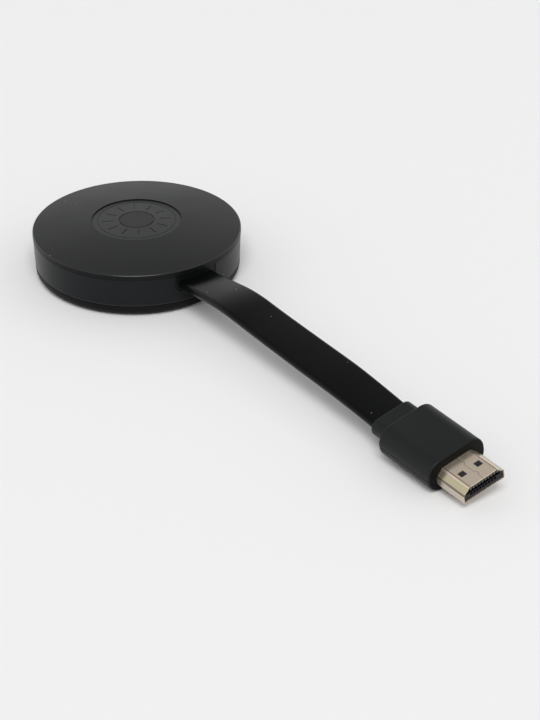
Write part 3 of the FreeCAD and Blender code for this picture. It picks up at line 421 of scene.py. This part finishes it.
recess_radius = 13.45 * MM
recess_gap = 0.05 * MM
recess_floor = 15.95 * MM
inlay_thickness = 0.31 * MM
inlay_slope = math.tan(math.radians(2.0))
groove_width = 0.3 * MM
groove_depth = 0.18 * MM
ring_grooves = (11.7 * MM, 5.2 * MM)
ray_count = 12
ray_inner = 6.8 * MM
ray_outer = 10.2 * MM
inlay_steps = 128
weld = 1e-7
inlay_black = moulded("inlay_satin", (0.010, 0.0107, 0.0107), 0.42, grain_depth=0.008, specular=0.37)
inlay_spot = inlay_black.place()
from_middle = inlay_black.node("ShaderNodeVectorMath", {"operation": "LENGTH"}, {
    0: inlay_black.node("ShaderNodeVectorMath", {"operation": "MULTIPLY"}, {0: inlay_spot, 1: (1, 1, 0)})}, 1)
inlay_black.zone(from_middle < ring_grooves[-1], (0.007, 0.0075, 0.0075), Roughness=0.44,
                 Specular_IOR_Level=0.3)


def lathe(stations, steps):
    """A turned solid from its outline, as radius and height from the axis out and back to it."""
    mesh = bmesh.new()
    profile = [mesh.verts.new((radius, 0, height)) for radius, height in stations]
    rails = [mesh.edges.new(pair) for pair in zip(profile, profile[1:])]
    bmesh.ops.spin(mesh, geom=profile + rails, axis=(0, 0, 1), cent=(0, 0, 0), angle=math.tau, steps=steps,
                   use_merge=True, use_duplicate=False)
    bmesh.ops.remove_doubles(mesh, verts=mesh.verts, dist=weld)
    bmesh.ops.recalc_face_normals(mesh, faces=mesh.faces)
    return mesh


def spare_object(name, mesh):
    data = bpy.data.meshes.new(name)
    mesh.to_mesh(data)
    mesh.free()
    item = bpy.data.objects.new(name, data)
    bpy.context.scene.collection.objects.link(item)
    return item


def carved(name, solid, cutter):
    """The solid less the cutter, as a mesh. Both are used up."""
    body = spare_object(name, solid)
    tool = spare_object(name + "_cutter", cutter)
    cut = body.modifiers.new("cut", "BOOLEAN")
    cut.operation = "DIFFERENCE"
    cut.solver = "EXACT"
    cut.use_self = True
    cut.object = tool
    made = bpy.data.meshes.new_from_object(body.evaluated_get(bpy.context.evaluated_depsgraph_get()))
    bpy.data.objects.remove(body)
    bpy.data.objects.remove(tool)
    return made


def add_block(mesh, size, middle=(0, 0, 0)):
    """Add a block to a mesh. Gives its corners."""
    corners = bmesh.ops.create_cube(mesh, size=1.0)["verts"]
    bmesh.ops.scale(mesh, vec=size, verts=corners)
    bmesh.ops.translate(mesh, vec=middle, verts=corners)
    return corners


def inlay_height(radius):
    """The inlay's face: flat inside the small ring, and a shallow cone from there out."""
    return recess_floor + inlay_thickness - inlay_slope * max(0.0, radius - ring_grooves[-1])


plate_edge = recess_radius - recess_gap
outline = [(0, recess_floor), (plate_edge, recess_floor), (plate_edge, inlay_height(plate_edge))]
for middle_radius in ring_grooves:
    for radius in (middle_radius + groove_width / 2, middle_radius - groove_width / 2):
        sunk = (radius, inlay_height(radius) - groove_depth)
        flush = (radius, inlay_height(radius))
        outline.extend([flush, sunk] if radius > middle_radius else [sunk, flush])
outline.append((0, inlay_height(0)))
rays = bmesh.new()
for number in range(ray_count):
    ray = add_block(rays, (ray_outer - ray_inner, groove_width, groove_depth * 2))
    bmesh.ops.rotate(rays, matrix=Matrix.Rotation(math.atan(inlay_slope), 3, "Y"), verts=ray)
    ray_middle = (ray_outer + ray_inner) / 2
    bmesh.ops.translate(rays, vec=(ray_middle, 0, inlay_height(ray_middle)), verts=ray)
    bmesh.ops.rotate(rays, matrix=Matrix.Rotation(math.tau * number / ray_count, 3, "Z"), verts=ray)
inlay = bmesh.new()
inlay.from_mesh(carved("inlay_plate", lathe(outline, inlay_steps), rays))
new_piece("lid_inlay", inlay, inlay_black, smooth=1.5)


# Side wall, base and anchor: black mouldings that meet at fine chamfered joints. The wall is satin,
# drafted and flush beside its notch, with a painted highlight along its lower edge: a lighter band that
# stands in for the floor's reflection on its chamfer. The base and the anchor are matt, and the anchor's
# nose fills the notch.

wall_black = moulded("wall_satin", (0.0035, 0.0042, 0.005), 0.34, grain_depth=0.005, specular=0.2, dust=0.16)
wall_height = wall_black.part(wall_black.place(), "Z")
painted_highlight_height = 3.85 * MM
# Painted highlight: the band above the wall's foot is painted much lighter, for the floor's reflection on the
# lower chamfer.
wall_black.zone(wall_height < painted_highlight_height, (0.016, 0.0165, 0.017), Roughness=0.4, Specular_IOR_Level=0.3)
wall_foot = 3.4 * MM
wall_top = 12.3 * MM
wall_foot_radius = 30.75 * MM
wall_top_radius = 31.1 * MM
wall_slack = 0.01 * MM
wall_mesh = bmesh.new()
wall_mesh.from_mesh(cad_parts["middle_shell"].data)
bmesh.ops.remove_doubles(wall_mesh, verts=wall_mesh.verts, dist=weld)
for corner in wall_mesh.verts:
    share = (corner.co.z - wall_foot) / (wall_top - wall_foot)
    reach = wall_foot_radius + (wall_top_radius - wall_foot_radius) * share
    radius = math.hypot(corner.co.x, corner.co.y)
    if radius > reach + wall_slack:
        corner.co.x *= reach / radius
        corner.co.y *= reach / radius
bmesh.ops.dissolve_degenerate(wall_mesh, edges=wall_mesh.edges, dist=weld)
side_wall = new_piece("side_wall", wall_mesh, wall_black, smooth=25)
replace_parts(side_wall, "middle_shell")
base_black = moulded("base_matt", (0.0035, 0.0035, 0.0036), 0.5, specular=0.12)
dress(base_black, "base_cover")
anchor_black = moulded("anchor_matt", (0.0032, 0.0036, 0.0038), 0.4, specular=0.12, dust=0.3)
dress(anchor_black, "cable_anchor")


# Screws: four self-tapping screws of zinc-plated steel, driven up through the base's wells into the
# wall's bosses. Their heads are bevelled and have a cross recess.

def plain_metal(name, colour, roughness, gloss_range, grain):
    """Bare or plated metal, whose roughness wanders over a range."""
    finish = Finish(name, colour, Metallic=1.0, Roughness=roughness)
    finish.feed(finish.shader, {"Roughness": finish.wander(finish.noise(grain), *gloss_range)})
    return finish


screw_zinc = plain_metal("screw_zinc", (0.42, 0.42, 0.43), 0.35, (0.28, 0.46), 1800.0)
screw_count = 4
first_screw = 45
screw_circle = 25.0 * MM
head_radius = 1.6 * MM
face_radius = 1.2 * MM
head_bevel = 0.48 * MM
head_steps = 40
head_low = 0.6 * MM
head_high = 1.6 * MM
shank_radius = 0.85 * MM
shank_top = 8.8 * MM
cross_arm = 1.9 * MM
cross_width = 0.42 * MM
cross_depth = 0.55 * MM

cross = bmesh.new()
for length, width in ((cross_arm, cross_width), (cross_width, cross_arm)):
    add_block(cross, (length, width, cross_depth * 2), (0, 0, head_low))
screw_outline = [
    (0, head_low), (face_radius, head_low), (head_radius, head_low + head_bevel), (head_radius, head_high),
    (shank_radius, head_high), (shank_radius, shank_top), (0, shank_top)]
screw_blank = lathe(screw_outline, head_steps)
cut_screw = carved("screw", screw_blank, cross)
screws = bmesh.new()
for number in range(screw_count):
    angle = math.radians(first_screw) + math.tau * number / screw_count
    place = Vector((screw_circle * math.cos(angle), screw_circle * math.sin(angle), 0))
    shifted = cut_screw.copy()
    shifted.transform(Matrix.Translation(place))
    screws.from_mesh(shifted)
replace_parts(new_piece("screws", screws, screw_zinc), "base_screws")


# Board: a round of green glass-fibre laminate with copper tracks under its solder mask. It is held
# between the base's posts and the wall's bosses.

mask_tone = (0.01, 0.09, 0.035)
track_tone = (0.03, 0.16, 0.05)
track_height = 0.03 * MM
board_green = Finish("board_mask", mask_tone, Roughness=0.3, Coat_Weight=0.3)
tracks = board_green.node("ShaderNodeTexBrick", {}, {
    "Vector": board_green.place(), "Scale": 220.0, "Mortar Size": 0.04}, "Fac")
board_green.feed(board_green.shader, {"Base Color": board_green.mix(tracks, mask_tone, track_tone)})
board_green.relief(tracks, track_height)
dress(board_green, "main_board")


# Board parts: chips in filled resin, tinned screening cans, coils in pressed ferrite, and capacitors and
# an aerial of fired ceramic. All of them are soldered flat to the board.

chip_resin = moulded("chip_resin", (0.02, 0.02, 0.021), 0.6, grain=6000.0, grain_depth=0.01)
dress(chip_resin, "processor", "memory_chip", "flash_chip")
can_tin = plain_metal("can_tin", (0.62, 0.61, 0.58), 0.3, (0.24, 0.42), 700.0)
dress(can_tin, "wireless_module", "crystal")
ferrite = moulded("ferrite", (0.05, 0.05, 0.055), 0.7, grain=2500.0, grain_depth=0.03)
dress(ferrite, "power_inductors")
ceramic = moulded("fired_ceramic", (0.42, 0.30, 0.20), 0.5, grain=4000.0, grain_depth=0.01)
dress(ceramic, "capacitors", "chip_antenna")


# Heat sink: an extruded aluminium comb with the die's lines along its fins. It stands on a soft grey-blue
# pad of silicone over the processor.

die_stretch = (40, 1, 1)
die_depth = 0.01 * MM
sink_metal = Finish("sink_aluminium", (0.68, 0.68, 0.7), Metallic=1.0, Roughness=0.38)
die_lines = sink_metal.noise(900.0, place=sink_metal.place(scale=die_stretch))
sink_metal.feed(sink_metal.shader, {"Roughness": sink_metal.wander(die_lines, 0.3, 0.5)})
sink_metal.relief(die_lines, die_depth)
dress(sink_metal, "heat_sink")
pad_silicone = moulded("pad_silicone", (0.28, 0.36, 0.48), 0.75, grain=1500.0, grain_depth=0.03)
dress(pad_silicone, "thermal_pad")


# Power socket and switch: a nickel-plated folded shell, soldered to the board's edge, round a black
# moulded tongue. Its contacts, and the plug's, are gold-flashed. The switch has a plated frame and a
# black plunger.

nickel = plain_metal("socket_nickel", (0.66, 0.65, 0.62), 0.25, (0.2, 0.36), 1200.0)
dress(nickel, "power_socket_shell", "switch_body")
socket_resin = moulded("socket_resin", (0.012, 0.012, 0.013), 0.45, grain=5000.0, grain_depth=0.005)
dress(socket_resin, "power_socket_tongue", "switch_plunger")
gold_flash = plain_metal("gold_flash", (0.86, 0.62, 0.28), 0.24, (0.18, 0.34), 2500.0)
dress(gold_flash, "power_socket_contacts", "plug_contacts_upper", "plug_contacts_lower")


# Button and status light: a moulded satin cap that slides in the wall's hole and presses the switch, and
# a clear rod of polished resin that brings a side-view lamp's light out through the wall.

button_black = moulded("button_satin", (0.006, 0.0065, 0.007), 0.38, grain_depth=0.005, specular=0.3)
dress(button_black, "mode_button")
clear_rod = Finish("clear_rod", (0.75, 0.77, 0.78), Roughness=0.18, Transmission_Weight=0.6, IOR=1.49)
rod_ripple = 0.01 * MM
clear_rod.relief(clear_rod.noise(3000.0), rod_ripple)
dress(clear_rod, "light_pipe")
lamp_resin = moulded("lamp_resin", (0.75, 0.74, 0.68), 0.3, grain=4000.0, grain_depth=0.005)
dress(lamp_resin, "status_led")


# Leads: the cable's cores, stripped and tinned flat. They run from the anchor down to the board, where
# they are soldered.

lead_tin = plain_metal("lead_tin", (0.6, 0.58, 0.55), 0.3, (0.24, 0.4), 2000.0)
dress(lead_tin, "cable_leads")


# Plug grip: one soft satin moulding over the shell's rear, stepped down to a neck round the cable. Its
# front face is painted darker and a little browner: painted shade under the shell and the shell's painted
# reflection.

plug_centre = tuple(plug_place)
plug_turn = (plug_roll, plug_tilt, 0.0)
grip_black = moulded("grip_satin", (0.0088, 0.0095, 0.0098), 0.44, grain=2200.0, grain_depth=0.03,
                     specular=0.17, dust=0.08)
painted_shade_front = -10.6 * MM
grip_spot = grip_black.place(plug_centre, plug_turn)
# Painted shade and painted reflection: the grip's front face is painted darker and browner.
grip_black.zone(grip_black.part(grip_spot, "X") > painted_shade_front, (0.004, 0.0037, 0.0035), Roughness=0.5,
                Specular_IOR_Level=0.1)
dress(grip_black, "plug_housing")


# Plug shell: thin plated sheet folded round the insulator and creased at its bends. Its two edges meet
# along the middle of the narrow side in a joint with two keys, and fine rolling lines run along its
# length. The joint is a real dark line. The darker tones of the slanted and side faces and the dark lines
# beside the bends are painted shade and painted reflection on the one plating.

plate_tone = (0.72, 0.615, 0.49)
slant_shade_tone = (0.53, 0.48, 0.32)
side_shade_tone = (0.63, 0.545, 0.445)
bend_shade_tone = (0.2, 0.17, 0.12)
line_half = 0.055 * MM
top_bend_shade_width = 0.11 * MM
side_bend_shade_width = 0.2 * MM
crease_top = 4.5 * MM
crease_side = 0.42 * MM
shell_flat = 1.9 * MM
keys = ((-8.6 * MM, -7.6 * MM), (-3.2 * MM, -2.2 * MM))
key_shift = 0.55 * MM
rolling_stretch = (60, 1, 1)
rolling_depth = 0.0012 * MM
plated = Finish("plated_sheet", plate_tone, Metallic=0.8, Roughness=0.33)
plug_spot = plated.place(plug_centre, plug_turn)
along = plated.part(plug_spot, "X")
across = plated.part(plug_spot, "Y")
rise = plated.part(plug_spot, "Z")
on_top = rise > shell_flat
in_keys = sum((along > rear) * (along < front) for rear, front in keys)
key_ends = sum(abs(along - end) < line_half for key in keys for end in key)
joint = abs(across - in_keys * key_shift) < line_half
key_sides = key_ends * (across > 0.0) * (across < key_shift)
top_bend_shade_lines = abs(abs(across) - crease_top) < top_bend_shade_width
side_bend_shade_lines = (abs(rise - crease_side) < side_bend_shade_width) * (abs(across) > crease_top)
# The joint and its keys are real dark lines; the lines beside the bends are painted shade.
joint_and_bend_shade = plated.node("ShaderNodeClamp", {}, {
    "Value": on_top * (joint + key_sides + top_bend_shade_lines) + side_bend_shade_lines})
rolling = plated.noise(1500.0, place=plated.place(plug_centre, plug_turn, rolling_stretch))
slanted = (rise > crease_side) * (rise < shell_flat)
# Slant and side tones: painted shade and painted reflection on the one plated sheet.
plated.feed(plated.shader, {
    "Roughness": plated.wander(rolling, 0.2, 0.3),
    "Base Color": plated.mix(joint_and_bend_shade, plated.mix(
        rise < crease_side, plated.mix(slanted, plate_tone, slant_shade_tone), side_shade_tone), bend_shade_tone),
})
plated.relief(rolling, rolling_depth)
dress(plated, "plug_shell")


# Plug insulator: a dark glass-filled moulding, pushed into the shell. Its cavity is painted in shade,
# with the comb that guides the upper contacts over it painted paler as painted light, and rings of
# painted shade round the holes of the lower contacts under it.

comb_lit_tone = (0.085, 0.083, 0.082)
shade_tone = (0.001, 0.001, 0.001)
skin_height = 1.75 * MM
face_setback = 0.45 * MM
contact_pitch = 1.0 * MM
hole_row = -0.7 * MM
hole_shade_reach = 0.39 * MM
hole_row_half = 4.4 * MM
comb_foot = 0.5 * MM
comb_top = 1.095 * MM
comb_front = -0.42 * MM
comb_rear = -1.9 * MM
comb_width = 11.4 * MM
comb_web = 0.15 * MM
notch_count = 10
notch_width = 0.5 * MM
mouth_resin = moulded("mouth_resin", (0.021, 0.022, 0.0245), 0.5, grain=5000.0, grain_depth=0.004,
                      specular=0.18)
mouth_spot = mouth_resin.place(plug_centre, plug_turn)
depth = mouth_resin.part(mouth_spot, "X")
sideways = mouth_resin.part(mouth_spot, "Y")
level = mouth_resin.part(mouth_spot, "Z")
from_hole = mouth_resin.node("ShaderNodeMath", {"operation": "PINGPONG"}, {0: sideways, 1: contact_pitch / 2})
# Painted light on the comb's face, painted shade round the lower holes, and painted shade in the cavity
# behind the face.
comb_lit_zone = (level > comb_foot / 2) * (depth > comb_rear)
hole_shade_mask = (from_hole < hole_shade_reach) * (abs(level - hole_row) < hole_shade_reach) * (abs(sideways) < hole_row_half)
behind_face = (depth < -face_setback) * (level < skin_height)
mouth_resin.zone(comb_lit_zone, comb_lit_tone, Roughness=0.5, Specular_IOR_Level=0.3)
mouth_resin.zone(hole_shade_mask, shade_tone, Roughness=0.8, Specular_IOR_Level=0.05)
mouth_resin.zone(behind_face, shade_tone, Roughness=0.8, Specular_IOR_Level=0.05)
dress(mouth_resin, "plug_insulator")

comb_length = comb_front - comb_rear
comb_height = comb_top - comb_foot
comb_middle = Vector((comb_front + comb_rear, 0, comb_top + comb_foot)) / 2
comb_blank = bmesh.new()
add_block(comb_blank, (comb_length, comb_width, comb_height), comb_middle)
notches = bmesh.new()
for number in range(notch_count):
    notch_place = (number - (notch_count - 1) / 2) * contact_pitch
    add_block(notches, (comb_length * 2, notch_width, comb_height),
              comb_middle + Vector((0, notch_place, -comb_web)))
comb = bmesh.new()
comb.from_mesh(carved("comb_blank", comb_blank, notches))
comb.transform(plug_frame)
new_piece("contact_comb", comb, mouth_resin, smooth=20)
